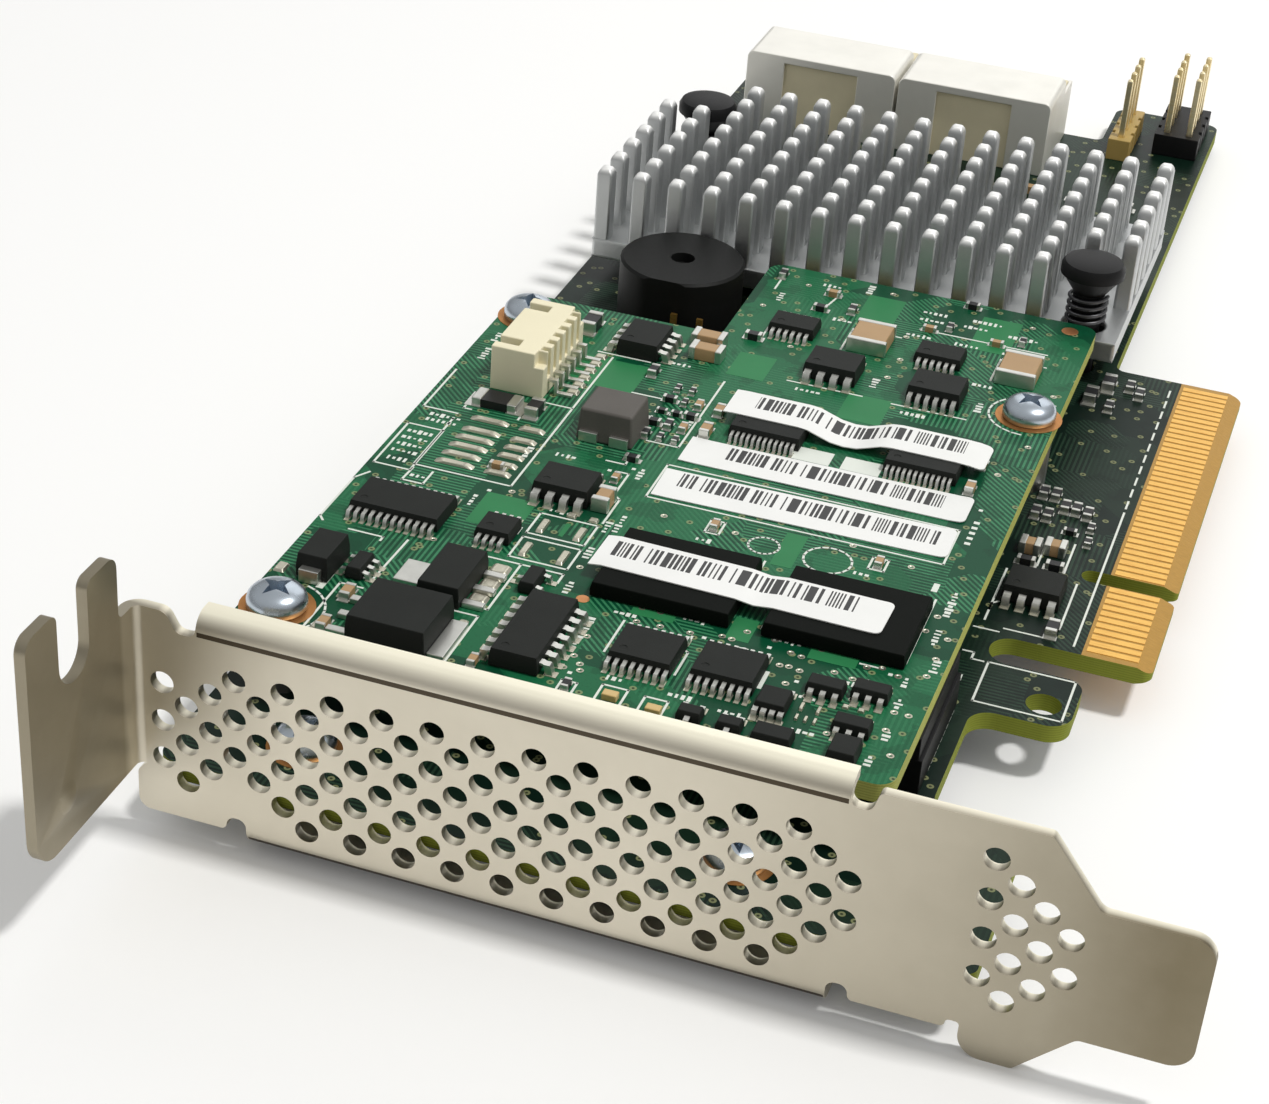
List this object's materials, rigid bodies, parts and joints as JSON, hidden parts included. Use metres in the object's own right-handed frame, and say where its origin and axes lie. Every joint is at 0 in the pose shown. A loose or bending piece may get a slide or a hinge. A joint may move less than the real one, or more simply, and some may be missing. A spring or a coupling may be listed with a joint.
{
  "type": "raid controller card",
  "caption": "Low-profile expansion card with a perforated bracket, daughter board, pin-fin heat sink, buzzer, two cable sockets and an edge connector.",
  "frame": {"origin": "where the centre line of the key notch meets the tip of the edge connector, on the component face of the main board", "axes": "+X out of the card through the edge contacts, +Y from the bracket towards the cable sockets, +Z out of the component side"},
  "size_m": [0.0795, 0.1805, 0.0256],
  "materials": {
    "dark_laminate": "glossy solder mask, very dark green",
    "green_laminate": "glossy solder mask, mid green",
    "gold": "gold plated",
    "nickel_steel": "satin nickel-plated steel",
    "zinc_screws": "bright zinc",
    "standoff_metal": "satin",
    "black_plastic": "satin black",
    "chip_substrate": "ball-grid substrate with a dull lid",
    "thermal_pad": "soft grey pad",
    "sink_aluminium": "satin forged aluminium",
    "spring_steel": "bright wire",
    "cage_steel": "bright tinned steel",
    "beige_plastic": "natural beige insulator",
    "amber_plastic": "brown header strip",
    "cream_plastic": "natural nylon",
    "tinned_leads": "bright tin",
    "chip_black": "fine matt moulding compound",
    "ceramic_tan": "tan ceramic",
    "ferrite": "grey ferrite",
    "lamp_clear": "small clear lamp",
    "white_paper": "white label stock"
  },
  "bodies": {
    "root": {"main_board": "dark_laminate", "edge_contacts": "gold", "bracket": "nickel_steel", "bracket_screws": "zinc_screws", "standoff_screws": "zinc_screws", "cache_board_screws": "zinc_screws", "standoffs": "standoff_metal", "cache_board": "green_laminate", "stack_socket": "black_plastic", "stack_plug": "black_plastic", "raid_processor": "chip_substrate", "thermal_pad": "thermal_pad", "heat_sink": "sink_aluminium", "push_pins": "black_plastic", "push_pin_springs": "spring_steel", "buzzer": "black_plastic", "buzzer_pins": "gold", "socket_cage_1": "cage_steel", "socket_housing_1": "beige_plastic", "socket_cage_2": "cage_steel", "socket_housing_2": "beige_plastic", "socket_contacts": "gold", "jumper_header": "black_plastic", "light_header": "amber_plastic", "header_pins": "gold", "cable_socket": "cream_plastic", "cable_socket_pins": "tinned_leads", "port_driver": "chip_black", "clock_buffer_left": "chip_black", "clock_buffer_right": "chip_black", "power_switch": "chip_black", "supervisor": "chip_black", "charger": "chip_black", "gauge": "chip_black", "bridge_left": "chip_black", "bridge_right": "chip_black", "latch_left": "chip_black", "latch_right": "chip_black", "driver_left": "chip_black", "driver_right": "chip_black", "boot_flash": "chip_black", "package_leads": "tinned_leads", "small_packages": "chip_black", "capacitors": "ceramic_tan", "flash_chips": "chip_black", "memory_chips": "chip_black", "regulators": "chip_black", "regulator_tabs": "tinned_leads", "power_inductor": "ferrite", "lights": "lamp_clear", "flat_labels": "white_paper", "flash_label": "white_paper", "bridge_label": "white_paper"}
  },
  "joints": []
}
